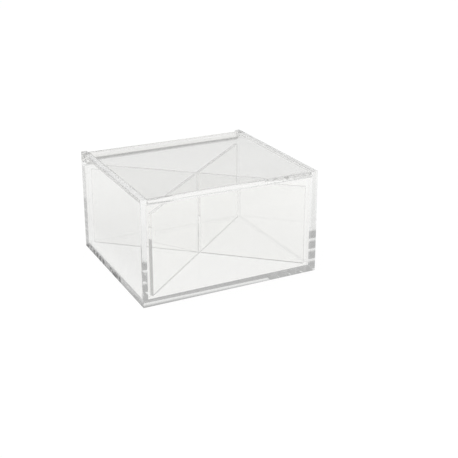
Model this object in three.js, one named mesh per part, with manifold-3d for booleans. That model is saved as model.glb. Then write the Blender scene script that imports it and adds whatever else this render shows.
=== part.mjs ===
// A small clear acrylic box with a hinged lid and two crossed dividers.
// Millimetres, +Z up. The origin is the centre of the underside, and the front faces -Y.

import * as THREE from 'three';
import { mergeVertices } from 'three/addons/utils/BufferGeometryUtils.js';
import Module from 'manifold-3d';

const wasm = await Module();
wasm.setup();

// Driving dimensions
const boxWidth = 100;
const boxDepth = 89;
const boxHeight = 57;
const sheetThickness = 3.3;    // walls and base
const lidThickness = 3;
const dividerThickness = 1.8;
const dividerHeight = 44.2;
const crossShift = 1;           // how far the crossing stands right of the middle, and behind it
const barSize = 6;             // the hinge bar's square section
const barEase = 0.15;          // radius of the bar's lower rear edge
const axleDiameter = 4;        // the stub turned on each end of the bar

// Clearances
const lidSideGap = 0.5;        // between the lid or bar and each side wall
const barGap = 0.3;            // between the bar's turning edges and the top of the back wall
const axleGap = 0.2;           // all round an axle in its wall
const dividerEndGap = 2;       // between a divider's end and the walls of its corner
const slotGap = 0.3;           // all round the half-lap joint of the dividers

// Facets on a quarter of each round edge
const roundFacets = 12;
const axleFacets = 8;

// Sizes that follow from the driving dimensions
const innerWidth = boxWidth - 2 * sheetThickness;
const innerDepth = boxDepth - 2 * sheetThickness;
const lidUnderside = boxHeight - lidThickness;
const lidWidth = innerWidth - 2 * lidSideGap;
const axleRadius = axleDiameter / 2;
const axisY = boxDepth / 2 - barSize / 2;
const axisZ = boxHeight - barSize / 2;
const barFront = boxDepth / 2 - barSize;
const barUnderside = boxHeight - barSize;
const barReach = barSize / Math.SQRT2 - barEase * (Math.SQRT2 - 1);    // from the axis to that edge
const backWallTop = axisZ - barReach - barGap;

// Finishes
const CLEAR_SHEET = { color: 0xeef2f2, roughness: 0.06, metalness: 0, transparent: true, opacity: 0.35 };
const THIN_SHEET = { color: 0xe9eeee, roughness: 0.08, metalness: 0, transparent: true, opacity: 0.3 };
const CLEAR_BAR = { color: 0xe6e9e6, roughness: 0.1, metalness: 0, transparent: true, opacity: 0.5 };

/** A named mesh with a finish of its own. */
function piece(name, geometry, finish) {
  const mesh = new THREE.Mesh(geometry, new THREE.MeshStandardMaterial(finish));
  mesh.name = name;
  return mesh;
}

/** A rectangular sheet between its lowest and highest corners. */
function sheet([x0, y0, z0], [x1, y1, z1]) {
  const geometry = new THREE.BoxGeometry(x1 - x0, y1 - y0, z1 - z0);
  return geometry.translate((x0 + x1) / 2, (y0 + y1) / 2, (z0 + z1) / 2);
}

/** Extrudes an outline drawn in Y and Z along X, from x0 to x1. */
function extrudeAlongX(outline, x0, x1, quarterFacets) {
  const geometry = new THREE.ExtrudeGeometry(outline, {
    depth: x1 - x0,
    bevelEnabled: false,
    curveSegments: 2 * quarterFacets,
  });
  const xFromDepth = new THREE.Matrix4().makeBasis(
    new THREE.Vector3(0, 1, 0),
    new THREE.Vector3(0, 0, 1),
    new THREE.Vector3(1, 0, 0),
  );
  return geometry.applyMatrix4(xFromDepth).translate(x0, 0, 0);
}

/** A closed circle about the hinge axis, as a path in Y and Z. */
function circleOnAxis(radius, PathType) {
  const circle = new PathType();
  circle.absarc(axisY, axisZ, radius, 0, 2 * Math.PI, false);
  return circle;
}

/** Turns a closed geometry into a solid that can be joined and cut. */
function toSolid(geometry) {
  const bare = geometry.clone();
  bare.deleteAttribute('normal');
  bare.deleteAttribute('uv');
  const merged = mergeVertices(bare);
  return new wasm.Manifold(new wasm.Mesh({
    numProp: 3,
    vertProperties: new Float32Array(merged.attributes.position.array),
    triVerts: new Uint32Array(merged.index.array),
  }));
}

/** Turns a solid back into a flat-shaded geometry. */
function toGeometry(solid) {
  const mesh = solid.getMesh();
  const indexed = new THREE.BufferGeometry();
  indexed.setAttribute('position', new THREE.BufferAttribute(mesh.vertProperties, 3));
  indexed.setIndex(new THREE.BufferAttribute(mesh.triVerts, 1));
  const geometry = indexed.toNonIndexed();
  geometry.computeVertexNormals();
  return geometry;
}

/** The base plate, which carries all four walls. */
function makeBase() {
  const corner = [boxWidth / 2, boxDepth / 2];
  return piece('base_plate', sheet([-corner[0], -corner[1], 0], [...corner, sheetThickness]), CLEAR_SHEET);
}

/** A side wall with its axle hole; side is -1 for the left wall and 1 for the right. */
function makeSideWall(name, side) {
  const outline = new THREE.Shape();
  outline.moveTo(-boxDepth / 2, sheetThickness);
  outline.lineTo(boxDepth / 2, sheetThickness);
  outline.lineTo(boxDepth / 2, boxHeight);
  outline.lineTo(-boxDepth / 2, boxHeight);
  outline.closePath();
  outline.holes.push(circleOnAxis(axleRadius + axleGap, THREE.Path));
  const faces = [side * innerWidth / 2, side * boxWidth / 2].sort((a, b) => a - b);
  return piece(name, extrudeAlongX(outline, ...faces, axleFacets), CLEAR_SHEET);
}

/** The front wall, whose top carries the lid, and the lower back wall under the hinge bar. */
function makeEndWalls() {
  const x = innerWidth / 2;
  const outer = boxDepth / 2;
  const inner = innerDepth / 2;
  return [
    piece('front_wall', sheet([-x, -outer, sheetThickness], [x, -inner, lidUnderside]), CLEAR_SHEET),
    piece('back_wall', sheet([-x, inner, sheetThickness], [x, outer, backWallTop]), CLEAR_SHEET),
  ];
}

/** A diagonal divider standing on the base, slotted at the middle from its top or its bottom. */
function makeDivider(name, turn, slotFromTop) {
  const diagonal = Math.atan2(innerDepth, innerWidth);
  const crossing = 2 * diagonal;
  const half = dividerThickness / 2;
  const reachToSide = (innerWidth / 2 - half * Math.sin(diagonal)) / Math.cos(diagonal);
  const reachToEnd = (innerDepth / 2 - half * Math.cos(diagonal)) / Math.sin(diagonal);
  const reach = Math.min(reachToSide, reachToEnd) - dividerEndGap;
  const slotWidth = (1 + Math.abs(Math.cos(crossing))) * dividerThickness / Math.sin(crossing);
  const slot = slotWidth / 2 + slotGap;
  const lap = dividerHeight / 2 + (slotFromTop ? -slotGap : slotGap) / 2;

  const outline = new THREE.Shape();
  outline.moveTo(-reach, 0);
  if (!slotFromTop) {
    outline.lineTo(-slot, 0);
    outline.lineTo(-slot, lap);
    outline.lineTo(slot, lap);
    outline.lineTo(slot, 0);
  }
  outline.lineTo(reach, 0);
  outline.lineTo(reach, dividerHeight);
  if (slotFromTop) {
    outline.lineTo(slot, dividerHeight);
    outline.lineTo(slot, lap);
    outline.lineTo(-slot, lap);
    outline.lineTo(-slot, dividerHeight);
  }
  outline.lineTo(-reach, dividerHeight);
  outline.closePath();

  const geometry = new THREE.ExtrudeGeometry(outline, { depth: dividerThickness, bevelEnabled: false });
  const upright = new THREE.Matrix4().makeBasis(
    new THREE.Vector3(1, 0, 0),
    new THREE.Vector3(0, 0, 1),
    new THREE.Vector3(0, -1, 0),
  );
  geometry.translate(0, 0, -half).applyMatrix4(upright);
  const divider = piece(name, geometry, THIN_SHEET);
  divider.rotation.z = turn * diagonal;
  divider.position.set(crossShift, crossShift, sheetThickness);
  return divider;
}

/** The lid: a flat panel between the side walls, flush with their tops. */
function makeLidPanel() {
  const low = [-lidWidth / 2, -boxDepth / 2, lidUnderside];
  const high = [lidWidth / 2, barFront, boxHeight];
  return piece('lid_panel', sheet(low, high), CLEAR_SHEET);
}

/** The hinge bar: square in front for the lid, rounded over its upper rear edge, with an axle at each end. */
function makeHingeBar() {
  const rear = boxDepth / 2;
  const outline = new THREE.Shape();
  outline.moveTo(barFront, barUnderside);
  outline.lineTo(rear - barEase, barUnderside);
  outline.absarc(rear - barEase, barUnderside + barEase, barEase, -Math.PI / 2, 0, false);
  outline.lineTo(rear, axisZ);
  outline.absarc(axisY, axisZ, barSize / 2, 0, Math.PI / 2, false);
  outline.lineTo(barFront, boxHeight);
  outline.closePath();

  const end = lidWidth / 2;
  const bar = toSolid(extrudeAlongX(outline, -end, end, roundFacets));
  const axle = circleOnAxis(axleRadius, THREE.Shape);
  const axles = toSolid(extrudeAlongX(axle, -boxWidth / 2, boxWidth / 2, axleFacets));
  return piece('hinge_bar', toGeometry(bar.add(axles)), CLEAR_BAR);
}

const box = new THREE.Group();
box.add(
  makeBase(),
  makeSideWall('left_wall', -1),
  makeSideWall('right_wall', 1),
  ...makeEndWalls(),
  makeDivider('divider_slotted_top', 1, true),
  makeDivider('divider_slotted_bottom', -1, false),
);

const lid = new THREE.Group();
lid.add(makeLidPanel(), makeHingeBar());
box.add(lid);

export default box;
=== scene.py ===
"""A small clear acrylic box: hinged lid, crossed dividers, cemented sheets, on a pale studio floor."""

from __future__ import annotations

import logging
import math
from contextlib import contextmanager
from dataclasses import dataclass, field
from enum import Enum
from functools import cache
from typing import Callable, Iterator

import bmesh
import bpy
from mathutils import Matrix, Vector

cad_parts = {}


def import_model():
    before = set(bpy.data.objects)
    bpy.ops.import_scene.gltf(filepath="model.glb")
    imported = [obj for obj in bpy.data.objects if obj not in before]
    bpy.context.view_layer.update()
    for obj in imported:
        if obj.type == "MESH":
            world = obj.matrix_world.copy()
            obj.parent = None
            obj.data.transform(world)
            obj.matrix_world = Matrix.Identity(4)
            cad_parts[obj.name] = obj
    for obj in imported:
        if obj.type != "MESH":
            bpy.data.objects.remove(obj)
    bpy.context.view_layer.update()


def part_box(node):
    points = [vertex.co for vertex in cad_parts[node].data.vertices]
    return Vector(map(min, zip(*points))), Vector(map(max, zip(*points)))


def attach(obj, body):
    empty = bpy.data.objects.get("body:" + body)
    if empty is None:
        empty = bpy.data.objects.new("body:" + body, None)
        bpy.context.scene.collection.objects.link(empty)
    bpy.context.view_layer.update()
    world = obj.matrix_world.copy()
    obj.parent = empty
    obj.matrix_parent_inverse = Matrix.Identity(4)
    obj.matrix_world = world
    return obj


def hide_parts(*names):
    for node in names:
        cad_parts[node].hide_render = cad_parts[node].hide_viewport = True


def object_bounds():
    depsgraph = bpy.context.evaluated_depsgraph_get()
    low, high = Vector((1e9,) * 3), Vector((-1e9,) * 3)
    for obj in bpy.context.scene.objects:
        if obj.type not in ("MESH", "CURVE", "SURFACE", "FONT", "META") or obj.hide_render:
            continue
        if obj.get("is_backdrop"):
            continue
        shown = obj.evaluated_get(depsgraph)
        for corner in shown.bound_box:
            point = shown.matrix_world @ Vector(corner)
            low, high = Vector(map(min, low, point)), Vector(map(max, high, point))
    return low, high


LOG = logging.getLogger("acrylic_box")
MM = 0.001

# How an edge or a face is told apart by its angle
SHARP = math.radians(40)    # an edge that turns by more than this can be rounded
FACING = 0.5                # a normal with more than this along an axis looks that way
ASIDE = 0.1                 # one with less than this stands square to the axis
SLANT = 0.97                # one with less than this along every axis lies on a slant
FLAT = 0.9999               # one with more than this along an axis lies on a flat face, not on a round

Piece = bpy.types.Object
Material = bpy.types.Material
Socket = bpy.types.NodeSocket
Colour = tuple[float, float, float]
EdgeTest = Callable[[Vector, Vector], bool]
FaceTest = Callable[[Vector, Vector], bool]


class Body(Enum):
    """The two moving bodies of the box."""

    CASE = "case"
    LID = "lid"


class Slot(Enum):
    """The record's material slots, which each piece names when it is seated."""

    SHEET = "clear_sheet"
    DIVIDER = "divider_sheet"
    LID = "lid_sheet"


class Wall(Enum):
    """The walls of the case."""

    LEFT = "left"
    RIGHT = "right"
    FRONT = "front"
    BACK = "back"


class Lap(Enum):
    """Where a divider's slot is open, and which way the divider turns from X to its diagonal."""

    TOP = 1
    BOTTOM = -1


class Grain(Enum):
    """How the fine marks of a finish run, as the stretch of its pattern along X, Y and Z."""

    EVEN = (1.0, 1.0, 1.0)
    ALONG_X = (0.02, 1.0, 1.0)
    ALONG_Z = (1.0, 1.0, 0.02)


class Axis(Enum):
    """The axes of the frame."""

    X = 0
    Y = 1
    Z = 2

    def unit(self) -> Vector:
        """The unit vector along the axis."""
        return Vector([float(axis is self) for axis in Axis])

    def is_face(self, middle: Vector, normal: Vector) -> bool:
        """Whether a face looks along the axis, either way."""
        return abs(normal[self.value]) > FACING

    def is_edge(self, middle: Vector, normal: Vector) -> bool:
        """Whether a face belongs to the cut edge of a sheet whose thickness lies along the axis."""
        return abs(normal[self.value]) < FACING


class Facing(Enum):
    """The ways that a dressed face can look, as an axis and a sign on it."""

    LEFT = (Axis.X, -1)
    FRONT = (Axis.Y, -1)
    BACK = (Axis.Y, 1)
    UP = (Axis.Z, 1)

    def holds(self, normal: Vector) -> bool:
        """Whether a normal points this way."""
        axis, sign = self.value
        return sign * normal[axis.value] > FACING


def grey(level: float) -> Colour:
    """A colour with the same level of red, green and blue."""
    return (level, level, level)


def corners(node: str) -> tuple[Vector, Vector]:
    """The lowest and highest corners of a solid of the frame."""
    low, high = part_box(node)
    return Vector(low), Vector(high)


class Recipe:
    """The node tree of a material or a world, with short ways to add and join nodes."""

    def __init__(self, owner: Material | bpy.types.World) -> None:
        """Starts with an empty tree.

        Args:
            owner: the material or world that the tree belongs to.
        """
        owner.use_nodes = True
        self.tree = owner.node_tree
        self.tree.nodes.clear()

    def add(self, kind: str, **values: object) -> bpy.types.Node:
        """Adds a node and sets its properties, or its inputs by name.

        Args:
            kind: the node's type.
            values: properties, or input sockets with spaces written as underscores.

        Returns:
            The new node.
        """
        node = self.tree.nodes.new(kind)
        for key, value in values.items():
            socket = node.inputs.get(key.replace("_", " "))
            if socket is not None:
                socket.default_value = value
            else:
                setattr(node, key, value)
        return node

    def feed(self, source: Socket | float | tuple[float, ...], target: Socket) -> None:
        """Links an output to an input, or sets the input to a plain value.

        Args:
            source: the output, or the value.
            target: the input.
        """
        if isinstance(source, Socket):
            self.tree.links.new(source, target)
        else:
            target.default_value = source

    def calculate(self, operation: str, *terms: Socket | float) -> Socket:
        """Adds one step of arithmetic.

        Args:
            operation: what is done to the terms.
            terms: sockets or numbers, in the node's order.

        Returns:
            The socket with the result.
        """
        node = self.add("ShaderNodeMath", operation=operation)
        for term, socket in zip(terms, node.inputs):
            self.feed(term, socket)
        return node.outputs[0]

    def fade(self, value: Socket, start: float, stop: float, first: Socket | float,
             last: Socket | float, curve: str = "LINEAR") -> Socket:
        """Adds a change from one level to another while a value runs from start to stop.

        Args:
            value: the value that runs.
            start: where the change begins.
            stop: where it ends.
            first: the level before it.
            last: the level after it.
            curve: how the level changes in between.

        Returns:
            The socket with the level.
        """
        node = self.add("ShaderNodeMapRange", interpolation_type=curve, From_Min=start, From_Max=stop)
        self.feed(value, node.inputs["Value"])
        self.feed(first, node.inputs["To Min"])
        self.feed(last, node.inputs["To Max"])
        return node.outputs["Result"]

    def mix(self, kind: str, share: Socket, first: Socket, second: Socket | tuple[float, ...]) -> Socket:
        """Adds a mix of two levels or two colours.

        Args:
            kind: FLOAT for levels or RGBA for colours.
            share: how much there is of the second one.
            first: the first one.
            second: the second one.

        Returns:
            The socket with the mix.
        """
        node = self.add("ShaderNodeMix", data_type=kind)
        self.feed(share, node.inputs["Factor"])
        self.feed(first, node.inputs["A"])
        self.feed(second, node.inputs["B"])
        return node.outputs["Result"]

    def ramp(self, value: Socket, *stops: tuple[float, Colour]) -> Socket:
        """Adds a run of colours along a value.

        Args:
            value: the value.
            stops: places on it and their colours, in rising order.

        Returns:
            The socket with the colour.
        """
        node = self.add("ShaderNodeValToRGB")
        self.feed(value, node.inputs["Fac"])
        elements = node.color_ramp.elements
        ready = len(elements)
        for count, (place, colour) in enumerate(stops):
            stop = elements[count] if count < ready else elements.new(place)
            stop.position = place
            stop.color = (*colour, 1.0)
        return node.outputs["Color"]

    def noise(self, place: Socket, **values: float) -> Socket:
        """Adds a noise over some coordinates.

        Args:
            place: the coordinates.
            values: the noise's inputs.

        Returns:
            The socket with its level.
        """
        node = self.add("ShaderNodeTexNoise", **values)
        self.feed(place, node.inputs["Vector"])
        return node.outputs["Fac"]

    def split(self, vector: Socket) -> bpy.types.Node:
        """Adds a node that takes a vector apart into X, Y and Z.

        Args:
            vector: the vector.

        Returns:
            The node, with its three outputs.
        """
        node = self.add("ShaderNodeSeparateXYZ")
        self.feed(vector, node.inputs["Vector"])
        return node

    def end(self, shader: Socket, kind: str = "ShaderNodeOutputMaterial") -> None:
        """Sends the shader to the surface of the material or world."""
        self.feed(shader, self.add(kind).inputs["Surface"])


@dataclass(frozen=True)
class ClearAcrylic:
    """Clear acrylic: a faint cast tint, hairline handling marks, and a slow swell in the surface."""

    name: str
    pale: Colour
    deep: Colour
    index: float = 1.59
    polish: float = 0.0                            # roughness off the marks
    haze: float = 0.03                             # roughness on them
    grain: Grain = Grain.EVEN
    blotch: tuple[float, float] = (0.0, 1.0)       # where on the swell the tint is deep, and where pale
    mark_scale: float = 420.0
    mark_detail: float = 3.0
    mark_wander: float = 0.4
    mark_middle: float = 0.5
    mark_width: float = 0.01
    mark_depth: float = 0.0002 * MM
    swell_scale: float = 26.0
    swell_detail: float = 2.0
    swell_depth: float = 0.002 * MM

    @classmethod
    def flamed(cls, name: str, pale: Colour, deep: Colour) -> ClearAcrylic:
        """A flame-polished finish, which has no marks to feel and hardly any haze."""
        return cls(name, pale, deep, haze=0.01, mark_depth=0.0)

    @cache
    def make(self) -> Material:
        """Builds the material, once for each finish.

        Returns:
            A transmissive material with its marks in roughness and bump.
        """
        made = bpy.data.materials.new(self.name)
        recipe = Recipe(made)
        place = recipe.add("ShaderNodeTexCoord").outputs["Object"]
        swell = recipe.noise(place, Scale=self.swell_scale, Detail=self.swell_detail)
        tint = recipe.ramp(swell, *zip(self.blotch, (self.deep, self.pale)))
        marks = self.marks(recipe, place)
        rough = recipe.fade(marks, 0.0, 1.0, self.polish, self.haze)

        waved = recipe.add("ShaderNodeBump", Strength=1.0, Distance=self.swell_depth)
        recipe.feed(swell, waved.inputs["Height"])
        scored = recipe.add("ShaderNodeBump", Strength=1.0, Distance=self.mark_depth, invert=True)
        recipe.feed(marks, scored.inputs["Height"])
        recipe.feed(waved.outputs["Normal"], scored.inputs["Normal"])

        shader = recipe.add("ShaderNodeBsdfPrincipled", IOR=self.index, Transmission_Weight=1.0)
        recipe.feed(tint, shader.inputs["Base Color"])
        recipe.feed(rough, shader.inputs["Roughness"])
        recipe.feed(scored.outputs["Normal"], shader.inputs["Normal"])
        recipe.end(shader.outputs["BSDF"])
        return made

    def marks(self, recipe: Recipe, place: Socket) -> Socket:
        """Adds the fine marks: thin lines where a stretched noise crosses its middle.

        Args:
            recipe: the tree to add to.
            place: the coordinates to draw the marks on.

        Returns:
            A socket that is 1 on a mark and 0 off it.
        """
        stretch = recipe.add("ShaderNodeMapping", Scale=self.grain.value)
        recipe.feed(place, stretch.inputs["Vector"])
        lines = recipe.noise(stretch.outputs["Vector"], Scale=self.mark_scale, Detail=self.mark_detail,
                             Distortion=self.mark_wander)
        return recipe.ramp(
            lines,
            (self.mark_middle - self.mark_width, grey(0.0)),
            (self.mark_middle, grey(1.0)),
            (self.mark_middle + self.mark_width, grey(0.0)),
        )


class Bench:
    """The modelling moves that the pieces share."""

    @staticmethod
    def clear() -> None:
        """Deselects everything."""
        bpy.ops.object.select_all(action="DESELECT")

    @staticmethod
    def pick(made: Piece) -> None:
        """Selects one object alone and makes it active.

        Args:
            made: the object.
        """
        Bench.clear()
        made.select_set(True)
        bpy.context.view_layer.objects.active = made

    @staticmethod
    def settle(name: str) -> Piece:
        """Names the object just added and applies its place to its mesh.

        Args:
            name: the object's name.

        Returns:
            The object, at the origin.
        """
        made = bpy.context.object
        made.name = name
        made.data.name = name
        bpy.ops.object.transform_apply(location=True, rotation=True, scale=True)
        return made

    @staticmethod
    def block(name: str, low: Vector, high: Vector) -> Piece:
        """Adds a block between two corners.

        Args:
            name: the object's name.
            low: its lowest corner.
            high: its highest corner.

        Returns:
            The block.
        """
        Bench.clear()
        bpy.ops.mesh.primitive_cube_add(size=1.0, location=(low + high) / 2, scale=high - low)
        return Bench.settle(name)

    @staticmethod
    def rod(name: str, start: Vector, length: float, radius: float, sides: int) -> Piece:
        """Adds a round rod along X.

        Args:
            name: the object's name.
            start: the middle of its left end.
            length: its length.
            radius: its radius.
            sides: how many flats its round has.

        Returns:
            The rod.
        """
        Bench.clear()
        bpy.ops.mesh.primitive_cylinder_add(
            vertices=sides,
            radius=radius,
            depth=length,
            location=start + Vector((length / 2, 0, 0)),
            rotation=(0, math.pi / 2, 0),
        )
        return Bench.settle(name)

    @staticmethod
    @contextmanager
    def editing(made: Piece) -> Iterator[bmesh.types.BMesh]:
        """Opens a piece in edit mode with nothing selected.

        Args:
            made: the piece.

        Returns:
            Its mesh, open for selecting.
        """
        Bench.pick(made)
        bpy.ops.object.mode_set(mode="EDIT")
        bpy.ops.mesh.select_mode(type="EDGE")
        bpy.ops.mesh.select_all(action="DESELECT")
        yield bmesh.from_edit_mesh(made.data)
        bpy.ops.object.mode_set(mode="OBJECT")

    @staticmethod
    def split(made: Piece, axis: Axis, *places: float) -> None:
        """Divides the faces of a piece square to an axis, so that each part can have its own finish.

        Args:
            made: the piece.
            axis: the axis.
            places: where along the axis the faces are divided.
        """
        with Bench.editing(made):
            for place in places:
                bpy.ops.mesh.select_all(action="SELECT")
                bpy.ops.mesh.bisect(plane_co=axis.unit() * place, plane_no=axis.unit())

    @staticmethod
    def ease(made: Piece, wanted: EdgeTest, width: float, steps: int = 2) -> None:
        """Rounds the edges that pass a test.

        Args:
            made: the piece.
            wanted: says of an edge's two ends whether it is rounded.
            width: how far the rounding reaches from the edge.
            steps: how many flats it has.
        """
        with Bench.editing(made) as shape:
            for edge in shape.edges:
                is_sharp = edge.calc_face_angle(0.0) > SHARP
                edge.select_set(is_sharp and wanted(edge.verts[0].co, edge.verts[1].co))
            bmesh.update_edit_mesh(made.data)
            bpy.ops.mesh.bevel(offset=width, segments=steps, profile=0.5, affect="EDGES")

    @staticmethod
    def cut(made: Piece, tool: Piece) -> None:
        """Cuts one solid out of another and removes the cutter."""
        Bench.combine(made, tool, "DIFFERENCE")

    @staticmethod
    def cement(made: Piece, other: Piece) -> None:
        """Joins a second solid to a piece, with no faces left between them."""
        Bench.combine(made, other, "UNION")

    @staticmethod
    def combine(made: Piece, other: Piece, operation: str) -> None:
        """Applies one solid to another and removes it.

        Args:
            made: the piece that stays.
            other: the solid that is used up.
            operation: DIFFERENCE or UNION.
        """
        Bench.pick(made)
        change = made.modifiers.new("combine", "BOOLEAN")
        change.operation = operation
        change.solver = "EXACT"
        change.material_mode = "TRANSFER"
        change.object = other
        bpy.ops.object.modifier_apply(modifier=change.name)
        bpy.data.objects.remove(other, do_unlink=True)

    @staticmethod
    def smooth(made: Piece, is_round: FaceTest) -> None:
        """Smooths the shading of a piece's round faces and leaves its flat faces flat.

        Args:
            made: the piece.
            is_round: says of a face's middle and normal whether it is part of a round.
        """
        with Bench.editing(made) as shape:
            bpy.ops.mesh.select_mode(type="FACE")
            for face in shape.faces:
                face.select_set(is_round(face.calc_center_median(), face.normal))
            bmesh.update_edit_mesh(made.data)
            bpy.ops.mesh.faces_shade_smooth()

    @staticmethod
    def coat(made: Piece, face: ClearAcrylic, edge: ClearAcrylic, is_edge: FaceTest) -> None:
        """Gives a piece its first two finishes, one on its long or broad faces and one on its cut edges.

        Args:
            made: the piece.
            face: the finish of its long or broad faces.
            edge: the finish of its cut edges.
            is_edge: says of a face's middle and normal whether it is a cut edge.
        """
        made.data.materials.clear()
        made.data.materials.append(face.make())
        made.data.materials.append(edge.make())
        for polygon in made.data.polygons:
            polygon.material_index = int(is_edge(polygon.center, polygon.normal))

    @staticmethod
    def recoat(made: Piece, finish: ClearAcrylic, wanted: FaceTest) -> None:
        """Gives some of a piece's faces one more finish, in place of the one they had.

        Args:
            made: the piece.
            finish: the finish to add.
            wanted: says of a face's middle and normal whether it gets that finish.
        """
        made.data.materials.append(finish.make())
        last = len(made.data.materials) - 1
        for polygon in made.data.polygons:
            if wanted(polygon.center, polygon.normal):
                polygon.material_index = last

    @staticmethod
    def seat(made: Piece, body: Body, slot: Slot, *nodes: str) -> None:
        """Joins a finished piece to the frame and reports it.

        Args:
            made: the piece.
            body: the body that carries it.
            slot: not used.
            nodes: the solids that it stands for.
        """
        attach(made, body.value)
        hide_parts(*nodes)
        LOG.info("%s: %d faces, on %s", made.name, len(made.data.polygons), body.value)


@dataclass(frozen=True)
class Axle:
    """The line that the lid turns on, and the stubs of the hinge bar that run in the side walls."""

    radius: float = 2.0 * MM
    gap: float = 0.2 * MM
    sides: int = 64

    def middle(self) -> Vector:
        """A point on the axis, in the middle of the bar."""
        low, high = corners("hinge_bar")
        return (low + high) / 2

    def stub(self, name: str, start: float, stop: float, radius: float) -> Piece:
        """Adds a round on the axis.

        Args:
            name: the object's name.
            start: the X of its left end.
            stop: the X of its right end.
            radius: its radius.

        Returns:
            The round.
        """
        place = self.middle()
        place.x = start
        return Bench.rod(name, place, stop - start, radius, self.sides)

    def is_near(self, point: Vector, reach: float) -> bool:
        """Whether a point lies within a distance of the axis."""
        return (point - self.middle()).yz.length < reach


@dataclass
class Case:
    """The cemented case: base plate, two drilled side walls, front wall and low back wall."""

    axle: Axle
    weld: float = 0.05 * MM            # how far a wall reaches into the sheet that it is cemented to
    eased: float = 0.06 * MM
    seam: float = 0.06 * MM
    lid_rest: float = 0.1 * MM         # how far the front wall's top stays under the lid
    hole_rim: float = 0.15 * MM
    rough_from: float = -12.0 * MM     # behind this, the base's left edge is rough and has blotches of painted shade
    joint_width: float = 5.6 * MM
    joint_from: float = 28.0 * MM      # above this, the left wall over its joint with the back wall has painted shade

    sheet: ClearAcrylic = ClearAcrylic("cast_sheet", pale=(0.96, 0.96, 0.953), deep=(0.95, 0.95, 0.943))
    cut_edge: ClearAcrylic = ClearAcrylic.flamed(
        "polished_edge", pale=(0.89, 0.89, 0.885), deep=(0.87, 0.87, 0.865))
    # Painted shade: the polished edge finish, tinted darker for the rear ends and edges.
    shaded_rear_face: ClearAcrylic = ClearAcrylic.flamed(
        "rear_painted_shade", pale=(0.85, 0.855, 0.845), deep=(0.82, 0.825, 0.815))
    # Painted shade: a darker polished finish on the front end of the right wall.
    shaded_front_end: ClearAcrylic = ClearAcrylic.flamed(
        "front_end_painted_shade", pale=(0.8, 0.8, 0.795), deep=(0.78, 0.78, 0.775))
    wall_top: ClearAcrylic = ClearAcrylic(
        "top_edge", pale=(0.87, 0.87, 0.865), deep=(0.85, 0.85, 0.845), polish=0.13, haze=0.2)
    # Rough and bumpy like a sawn edge; its near-black blotches are painted shade.
    rough_shaded_edge: ClearAcrylic = ClearAcrylic(
        "rough_shaded_edge", pale=(1.0, 1.0, 0.99), deep=(0.06, 0.06, 0.06), haze=0.1,
        blotch=(0.46, 0.54), swell_scale=300.0, swell_depth=0.8 * MM)
    # Painted shade: a darker tint on the left wall over its joint with the back wall.
    shaded_joint: ClearAcrylic = ClearAcrylic("shaded_joint", pale=(0.63, 0.63, 0.62), deep=(0.59, 0.59, 0.58))
    scraped: ClearAcrylic = ClearAcrylic(
        "scraped_corner", pale=(0.97, 0.97, 0.965), deep=(0.93, 0.93, 0.925), polish=0.35, haze=0.5)

    rear: float = field(init=False)
    floor_top: float = field(init=False)
    inner_side: float = field(init=False)
    joint_top: float = field(init=False)

    def __post_init__(self) -> None:
        """Reads from the frame where the sheets meet."""
        plate = corners("base_plate")[1]
        back = corners("back_wall")[1]
        self.rear = plate.y
        self.floor_top = plate.z
        self.inner_side = back.x
        self.joint_top = back.z

    def build(self) -> None:
        """Builds the five sheets, cements them into one shell and finishes their edges."""
        shell = self.base()
        walls = [self.side_wall(wall) for wall in (Wall.LEFT, Wall.RIGHT)]
        walls.append(self.end_wall(Wall.FRONT, self.lid_rest))
        walls.append(self.end_wall(Wall.BACK, 0.0))
        for wall in walls:
            Bench.cement(shell, wall)
        Bench.recoat(shell, self.shaded_rear_face, self.is_shaded_rear_face)
        Bench.recoat(shell, self.shaded_front_end, self.is_right_front_end)
        Bench.recoat(shell, self.wall_top, self.is_wall_top)
        Bench.recoat(shell, self.rough_shaded_edge, self.is_rough_shaded_edge)
        Bench.recoat(shell, self.shaded_joint, self.is_shaded_joint)
        Bench.recoat(shell, self.scraped, self.is_slanted)
        Bench.seat(shell, Body.CASE, Slot.SHEET, "base_plate", "left_wall", "right_wall",
                   "front_wall", "back_wall")

    def base(self) -> Piece:
        """Builds the base plate, with fine seams on top and rounded edges below.

        Returns:
            The plate.
        """
        low, high = corners("base_plate")
        made = Bench.block("case_shell", low, high)
        Bench.split(made, Axis.Y, self.rough_from)
        Bench.ease(made, lambda a, b: min(a.z, b.z) > high.z - MM, self.seam)
        Bench.ease(made, lambda a, b: min(a.z, b.z) < low.z + MM, self.eased)
        Bench.coat(made, self.sheet, self.cut_edge, Axis.Z.is_edge)
        return made

    def side_wall(self, wall: Wall) -> Piece:
        """Builds a side wall with its axle hole.

        Args:
            wall: the left or right wall.

        Returns:
            The wall.
        """
        low, high = corners(f"{wall.value}_wall")
        low.z -= self.weld
        made = Bench.block(f"{wall.value}_sheet", low, high)
        Bench.split(made, Axis.Y, high.y - self.joint_width)
        Bench.split(made, Axis.Z, self.joint_from, self.joint_top)
        Bench.ease(made, lambda a, b: max(a.z, b.z) < low.z + MM, self.seam)
        Bench.ease(made, lambda a, b: max(a.z, b.z) > high.z - MM, self.eased)
        radius = self.axle.radius + self.axle.gap
        Bench.cut(made, self.axle.stub("hole", low.x - MM, high.x + MM, radius))
        reach = radius + self.hole_rim
        Bench.ease(made, lambda a, b: self.axle.is_near(a, reach) and self.axle.is_near(b, reach),
                   self.hole_rim)
        Bench.smooth(made, lambda point, normal: abs(normal.x) < ASIDE and self.axle.is_near(point, reach))
        Bench.coat(made, self.sheet, self.cut_edge, Axis.X.is_edge)
        return made

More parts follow.
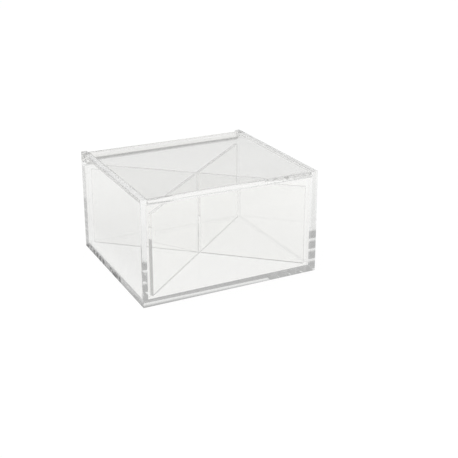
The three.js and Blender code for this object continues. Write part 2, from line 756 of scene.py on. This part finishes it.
    def end_wall(self, wall: Wall, lowered: float) -> Piece:
        """Builds the front or back wall between the side walls.

        Args:
            wall: the front or back wall.
            lowered: how far its top stays under what lies on it.

        Returns:
            The wall.
        """
        low, high = corners(f"{wall.value}_wall")
        low -= Vector((self.weld, 0, self.weld))
        high += Vector((self.weld, 0, -lowered))
        made = Bench.block(f"{wall.value}_sheet", low, high)
        top = high.z - MM
        Bench.ease(made, lambda a, b: min(a.z, b.z) < top, self.seam)
        Bench.ease(made, lambda a, b: min(a.z, b.z) > top and abs(a.x - b.x) > MM, self.eased)
        Bench.coat(made, self.sheet, self.cut_edge, Axis.Y.is_edge)
        return made

    def is_shaded_rear_face(self, middle: Vector, normal: Vector) -> bool:
        """Whether a face is the rear end of a side wall or the rear edge of the base, which get painted
        shade.
        """
        is_behind = Facing.BACK.holds(normal) and middle.y > self.rear - MM
        return is_behind and (abs(middle.x) > self.inner_side or middle.z < self.floor_top)

    def is_right_front_end(self, middle: Vector, normal: Vector) -> bool:
        """Whether a face is the front end of the right wall, which gets painted shade."""
        is_in_wall = middle.x > self.inner_side and middle.z > self.floor_top
        return is_in_wall and Facing.FRONT.holds(normal)

    def is_wall_top(self, middle: Vector, normal: Vector) -> bool:
        """Whether a face is the top of a side wall."""
        is_in_wall = abs(middle.x) > self.inner_side and middle.z > self.floor_top
        return is_in_wall and Facing.UP.holds(normal)

    def is_rough_shaded_edge(self, middle: Vector, normal: Vector) -> bool:
        """Whether a face is the part of the base's left edge where the saw marks were left, with blotches
        of painted shade.
        """
        is_in_part = middle.z < self.floor_top and middle.y > self.rough_from
        return is_in_part and Facing.LEFT.holds(normal)

    def is_shaded_joint(self, middle: Vector, normal: Vector) -> bool:
        """Whether a face is the part of the left wall over the joint behind it, which has painted shade."""
        is_in_part = middle.y > self.rear - self.joint_width and self.joint_from < middle.z < self.joint_top
        return is_in_part and middle.x < -self.inner_side and Facing.LEFT.holds(normal)

    @staticmethod
    def is_slanted(middle: Vector, normal: Vector) -> bool:
        """Whether a face is a broken corner or lies in a drilled hole."""
        return max(abs(normal.x), abs(normal.y), abs(normal.z)) < SLANT


@dataclass
class DividerCross:
    """Two thin sheets halved into each other on the box's diagonals."""

    thickness: float = 1.8 * MM
    foot_gap: float = 0.03 * MM
    end_gap: float = 2.0 * MM
    slot_gap: float = 0.3 * MM
    eased: float = 0.02 * MM
    spare: float = 5.0 * MM            # how far the slot's cutter stands out of the sheet
    in_face: float = 0.1 * MM          # the ends of an edge that lies in a face differ by less in Y

    sheet: ClearAcrylic = ClearAcrylic("thin_sheet", pale=(0.99, 0.99, 0.985), deep=(0.98, 0.98, 0.975))
    cut_edge: ClearAcrylic = ClearAcrylic(
        "buffed_edge", pale=(1.0, 1.0, 0.995), deep=(0.985, 0.985, 0.98), haze=0.08, grain=Grain.ALONG_Z)

    def build(self) -> None:
        """Builds both dividers."""
        for lap in Lap:
            self.divider(lap)

    def divider(self, lap: Lap) -> None:
        """Builds one divider along X, cuts its slot, and turns it to its diagonal.

        Args:
            lap: where its slot is open.
        """
        node = f"divider_slotted_{lap.name.lower()}"
        low, high = corners(node)
        half_width = -corners("left_wall")[1].x
        half_depth = -corners("front_wall")[1].y
        diagonal = math.atan2(half_depth, half_width)
        half = self.thickness / 2
        to_side = (half_width - half * math.sin(diagonal)) / math.cos(diagonal)
        to_end = (half_depth - half * math.cos(diagonal)) / math.sin(diagonal)
        reach = min(to_side, to_end) - self.end_gap

        made = Bench.block(
            f"{node}_sheet",
            Vector((-reach, -half, low.z + self.foot_gap)),
            Vector((reach, half, high.z)),
        )
        Bench.cut(made, self.slot_cutter(lap, 2 * diagonal, low.z, high.z))
        Bench.ease(made, lambda a, b: abs(a.y - b.y) < self.in_face, self.eased)
        Bench.coat(made, self.sheet, self.cut_edge, Axis.Y.is_edge)
        made.rotation_euler.z = lap.value * diagonal
        made.location.xy = ((low + high) / 2).xy
        Bench.pick(made)
        bpy.ops.object.transform_apply(location=True, rotation=True, scale=True)
        Bench.seat(made, Body.CASE, Slot.DIVIDER, node)

    def slot_cutter(self, lap: Lap, crossing: float, bottom: float, top: float) -> Piece:
        """Adds the block that cuts a divider's half of the joint.

        Args:
            lap: where the slot is open.
            crossing: the angle at which the dividers cross.
            bottom: the height of the divider's foot.
            top: the height of its top.

        Returns:
            The block.
        """
        width = (1 + abs(math.cos(crossing))) * self.thickness / math.sin(crossing)
        half = width / 2 + self.slot_gap
        middle = (bottom + top) / 2
        low = bottom - self.spare
        high = top + self.spare
        if lap is Lap.TOP:
            low = middle - self.slot_gap / 2
        else:
            high = middle + self.slot_gap / 2
        return Bench.block("slot", Vector((-half, -self.spare, low)), Vector((half, self.spare, high)))


@dataclass
class Hinge:
    """The lid and the square bar along its rear edge, whose stubs turn in the side walls."""

    axle: Axle
    weld: float = 0.05 * MM            # how far the lid reaches into the bar
    eased: float = 0.06 * MM
    top_round: float = 3.0 * MM
    top_steps: int = 24
    under_round: float = 0.15 * MM
    under_steps: int = 6
    seam: float = 0.12 * MM
    root: float = 1.0 * MM             # how far a stub reaches into the bar
    unshaded_strip: float = 1.5 * MM      # how far the bar's face stays free of painted shade under the lid
    blotched_shade_from: float = 19.0 * MM     # right of this, the lid's front edge has blotches of painted shade

    sheet: ClearAcrylic = ClearAcrylic("lid_sheet", pale=(1.0, 1.0, 0.993), deep=(0.99, 0.99, 0.983))
    cut_edge: ClearAcrylic = ClearAcrylic.flamed(
        "lid_edge", pale=(0.82, 0.82, 0.815), deep=(0.79, 0.79, 0.785))
    side_edge: ClearAcrylic = ClearAcrylic(
        "lid_side", pale=(1.0, 1.0, 0.99), deep=(0.9, 0.9, 0.89), polish=0.14, haze=0.25)
    # Painted shade: dark blotches on the right part of the lid's front edge, over a faint bump.
    blotched_shade_edge: ClearAcrylic = ClearAcrylic(
        "blotched_shade_edge", pale=(1.0, 1.0, 0.995), deep=(0.5, 0.5, 0.49), haze=0.02,
        blotch=(0.36, 0.42), swell_scale=330.0, swell_depth=0.04 * MM)
    square_bar: ClearAcrylic = ClearAcrylic.flamed(
        "square_bar", pale=(1.0, 0.995, 0.98), deep=(0.99, 0.985, 0.97))
    sawn_end: ClearAcrylic = ClearAcrylic(
        "sawn_face", pale=(0.8, 0.8, 0.78), deep=(0.74, 0.74, 0.72), polish=0.2, haze=0.4,
        grain=Grain.ALONG_X)
    # Painted shade: the bar's flame-polished finish, tinted darker for its front face below the lid.
    shaded_bar_front: ClearAcrylic = ClearAcrylic.flamed(
        "shaded_bar_front", pale=(0.66, 0.66, 0.64), deep=(0.62, 0.62, 0.6))

    def build(self) -> None:
        """Builds the lid and its bar as one cemented piece."""
        made = self.bar()
        Bench.cement(made, self.lid())
        Bench.seat(made, Body.LID, Slot.LID, "lid_panel", "hinge_bar")

    def lid(self) -> Piece:
        """Builds the lid panel.

        Returns:
            The panel.
        """
        low, high = corners("lid_panel")
        rear = high.y
        high.y += self.weld
        made = Bench.block("lid_sheet", low, high)
        Bench.split(made, Axis.X, self.blotched_shade_from)
        Bench.ease(made, lambda a, b: min(a.y, b.y) < rear - MM, self.eased)
        Bench.coat(made, self.sheet, self.cut_edge, Axis.Z.is_edge)
        Bench.recoat(made, self.side_edge, Axis.X.is_face)
        Bench.recoat(made, self.blotched_shade_edge, self.is_blotched_shade)
        return made

    def bar(self) -> Piece:
        """Builds the hinge bar, rounded behind, with a stub axle on each end.

        Returns:
            The bar.
        """
        low, high = corners("hinge_bar")
        lid_low, lid_high = corners("lid_panel")
        left, right = low.x, high.x
        low.x, high.x = lid_low.x, lid_high.x
        unshaded_from = lid_low.z - self.unshaded_strip
        made = Bench.block("hinged_lid", low, high)
        Bench.split(made, Axis.Z, unshaded_from)
        rear = high.y - MM
        front = low.y + MM
        middle = (low.z + high.z) / 2
        Bench.ease(made, lambda a, b: min(a.y, b.y) > rear and min(a.z, b.z) > middle,
                   self.top_round, self.top_steps)
        Bench.ease(made, lambda a, b: min(a.y, b.y) > rear and max(a.z, b.z) < low.z + MM,
                   self.under_round, self.under_steps)
        Bench.ease(made, lambda a, b: max(a.y, b.y) < front and abs(a.x - b.x) > MM, self.seam)
        Bench.cement(made, self.axle.stub("left_axle", left, low.x + self.root, self.axle.radius))
        Bench.cement(made, self.axle.stub("right_axle", high.x - self.root, right, self.axle.radius))
        Bench.smooth(made, self.is_round)
        Bench.coat(made, self.square_bar, self.sawn_end, Axis.X.is_face)
        # Painted shade: the bar's front face below that strip gets the darker tint.
        Bench.recoat(made, self.shaded_bar_front, lambda point, normal: normal.y < -FLAT and point.z < unshaded_from)
        return made

    def is_blotched_shade(self, middle: Vector, normal: Vector) -> bool:
        """Whether a face of the lid is the part of its front edge that has blotches of painted shade."""
        return Facing.FRONT.holds(normal) and middle.x > self.blotched_shade_from

    @staticmethod
    def is_round(middle: Vector, normal: Vector) -> bool:
        """Whether a face of the bar belongs to a round that runs along it."""
        return abs(normal.x) < ASIDE and max(abs(normal.y), abs(normal.z)) < FLAT


@dataclass
class Studio:
    """The pale floor, the soft surroundings, the lamp and the camera."""

    floor_drop: float = 0.1 * MM
    floor_radius: float = 8.0
    floor_sides: int = 96
    floor_colour: Colour = (0.1, 0.1, 0.098)
    glow: float = 0.95                 # in direct sight

    # The floor's light as the acrylic carries it
    glow_under: float = 1.08
    inner_level: float = 0.95          # just inside the box's outline
    inner_reach: float = 1.5 * MM
    ring_level: float = 0.42           # just outside it
    ring_reach: float = 3.0 * MM
    glow_around: float = 0.905
    glow_far: float = 0.98
    far_start: float = 20.0 * MM
    far_reach: float = 90.0 * MM
    left_level: float = 0.78           # the share of it left of the box
    left_reach: float = 15.0 * MM

    # The room, by the sine of the height above the floor
    room_levels: tuple[tuple[float, float], ...] = (
        (0.0, 0.95), (0.06, 0.9), (0.16, 0.53), (0.5, 0.53), (0.8, 0.55), (1.0, 0.7),
    )
    backdrop_azimuth: float = 32.0
    backdrop_rise: float = 24.0
    backdrop_core: float = 16.0
    backdrop_reach: float = 34.0
    backdrop_level: float = 0.5

    lamp_energy: float = 2.5
    lamp_size: float = 0.9
    lamp_place: tuple[float, float, float] = (-0.25, -0.1, 1.3)

    azimuth: float = -26.937
    elevation: float = 19.022
    distance: float = 501.2 * MM
    lens: float = 71.34
    sensor: float = 36.0
    near: float = 10.0 * MM
    shift_up: float = -0.1059
    slide_right: float = -18.07 * MM
    slide_up: float = -16.32 * MM
    bounces: int = 128

    def build(self) -> None:
        """Builds the stage in order."""
        self.floor()
        self.surroundings()
        self.lamp()
        self.camera()
        scene = bpy.context.scene
        scene.view_settings.view_transform = "Standard"
        scene.cycles.max_bounces = self.bounces
        scene.cycles.glossy_bounces = self.bounces
        scene.cycles.transmission_bounces = self.bounces

    def floor(self) -> None:
        """Lays the floor: matt, with a glow for direct, mirrored and refracted sight."""
        Bench.clear()
        bpy.ops.mesh.primitive_circle_add(vertices=self.floor_sides, radius=self.floor_radius,
                                          fill_type="NGON", location=(0, 0, -self.floor_drop))
        made = Bench.settle("floor")
        finish = bpy.data.materials.new("pale_floor")
        recipe = Recipe(finish)
        sight = recipe.add("ShaderNodeLightPath")
        through = recipe.calculate("MAXIMUM", sight.outputs["Is Glossy Ray"],
                                   sight.outputs["Is Transmission Ray"])
        carried = recipe.calculate("MULTIPLY", through, self.floor_light(recipe))
        level = recipe.calculate("MULTIPLY_ADD", sight.outputs["Is Camera Ray"], self.glow, carried)
        glow = recipe.add("ShaderNodeEmission")
        recipe.feed(level, glow.inputs["Strength"])
        matt = recipe.add("ShaderNodeBsdfDiffuse", Color=(*self.floor_colour, 1.0))
        both = recipe.add("ShaderNodeAddShader")
        recipe.feed(matt.outputs["BSDF"], both.inputs[0])
        recipe.feed(glow.outputs["Emission"], both.inputs[1])
        recipe.end(both.outputs["Shader"])
        made.data.materials.append(finish)
        made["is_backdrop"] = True

    def floor_light(self, recipe: Recipe) -> Socket:
        """Adds the floor's light as acrylic carries it: even under the box, dimmest close round it.

        Args:
            recipe: the tree to add to.

        Returns:
            A socket with the level of light.
        """
        low, high = corners("base_plate")
        place = recipe.add("ShaderNodeTexCoord").outputs["Object"]
        folded = recipe.add("ShaderNodeVectorMath", operation="ABSOLUTE")
        recipe.feed(place, folded.inputs[0])
        past = recipe.add("ShaderNodeVectorMath", operation="SUBTRACT")
        recipe.feed(folded.outputs["Vector"], past.inputs[0])
        recipe.feed((high - low) / 2, past.inputs[1])
        beyond = recipe.split(past.outputs["Vector"])
        outside = recipe.calculate("MAXIMUM", beyond.outputs["X"], beyond.outputs["Y"])

        far = recipe.fade(outside, self.far_start, self.far_reach, self.glow_around, self.glow_far)
        around = recipe.fade(outside, 0.0, self.ring_reach, self.ring_level, far)
        left = recipe.fade(recipe.split(place).outputs["X"], low.x - self.left_reach, low.x,
                           self.left_level, 1.0)
        shaded = recipe.calculate("MULTIPLY", around, left)
        under = recipe.fade(outside, -self.inner_reach, 0.0, self.glow_under, self.inner_level)
        is_under = recipe.calculate("LESS_THAN", outside, 0.0)
        return recipe.mix("FLOAT", is_under, shaded, under)

    def surroundings(self) -> None:
        """Makes the room: pale at the horizon, dim above, with a lit backdrop; white in direct sight."""
        world = bpy.data.worlds.new("studio_room")
        bpy.context.scene.world = world
        recipe = Recipe(world)
        place = recipe.add("ShaderNodeTexCoord").outputs["Generated"]
        levels = [(height, grey(level)) for height, level in self.room_levels]
        walls = recipe.ramp(recipe.split(place).outputs["Z"], *levels)

        toward = recipe.add("ShaderNodeVectorMath", operation="DOT_PRODUCT")
        recipe.feed(place, toward.inputs[0])
        recipe.feed(self.direction(self.backdrop_azimuth, self.backdrop_rise), toward.inputs[1])
        rim = math.cos(math.radians(self.backdrop_reach))
        core = math.cos(math.radians(self.backdrop_core))
        lit = recipe.fade(toward.outputs["Value"], rim, core, 0.0, 1.0, "SMOOTHSTEP")
        room = recipe.mix("RGBA", lit, walls, (*grey(self.backdrop_level), 1.0))

        sight = recipe.add("ShaderNodeLightPath")
        seen = recipe.mix("RGBA", sight.outputs["Is Camera Ray"], room, (*grey(1.0), 1.0))
        back = recipe.add("ShaderNodeBackground")
        recipe.feed(seen, back.inputs["Color"])
        recipe.end(back.outputs["Background"], "ShaderNodeOutputWorld")

    @staticmethod
    def direction(azimuth: float, rise: float) -> tuple[float, float, float]:
        """The unit vector towards a place in the room.

        Args:
            azimuth: degrees to the right of straight behind the box.
            rise: degrees above the floor.

        Returns:
            Its X, Y and Z.
        """
        turn = math.radians(azimuth)
        up = math.radians(rise)
        return (math.sin(turn) * math.cos(up), math.cos(turn) * math.cos(up), math.sin(up))

    def lamp(self) -> None:
        """Hangs one wide soft lamp over the box."""
        light = bpy.data.lights.new("soft_box", "AREA")
        light.shape = "SQUARE"
        light.size = self.lamp_size
        light.energy = self.lamp_energy
        made = bpy.data.objects.new("soft_box", light)
        made.location = self.lamp_place
        made.rotation_euler = (-made.location).to_track_quat("-Z", "Y").to_euler()
        bpy.context.collection.objects.link(made)

    def camera(self) -> None:
        """Sets the camera at the photograph's angle, distance and framing."""
        low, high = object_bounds()
        middle = (Vector(low) + Vector(high)) / 2
        turn = math.radians(self.azimuth)
        rise = math.radians(self.elevation)
        back = Vector((
            math.sin(turn) * math.cos(rise),
            -math.cos(turn) * math.cos(rise),
            math.sin(rise),
        ))
        right = Vector((math.cos(turn), math.sin(turn), 0))
        up = back.cross(right)
        aim = middle - right * self.slide_right - up * self.slide_up
        view = bpy.data.cameras.new("camera")
        view.lens = self.lens
        view.sensor_width = self.sensor
        view.shift_y = self.shift_up
        view.clip_start = self.near
        made = bpy.data.objects.new("camera", view)
        made.location = aim + back * self.distance
        made.rotation_euler = (-back).to_track_quat("-Z", "Y").to_euler()
        bpy.context.collection.objects.link(made)
        bpy.context.scene.camera = made


def main() -> None:
    """Builds the stage and the box."""
    logging.basicConfig(level=logging.INFO)
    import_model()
    Studio().build()
    axle = Axle()
    Case(axle).build()
    DividerCross().build()
    Hinge(axle).build()
    bpy.context.view_layer.update()


if __name__ == "__main__":
    main()
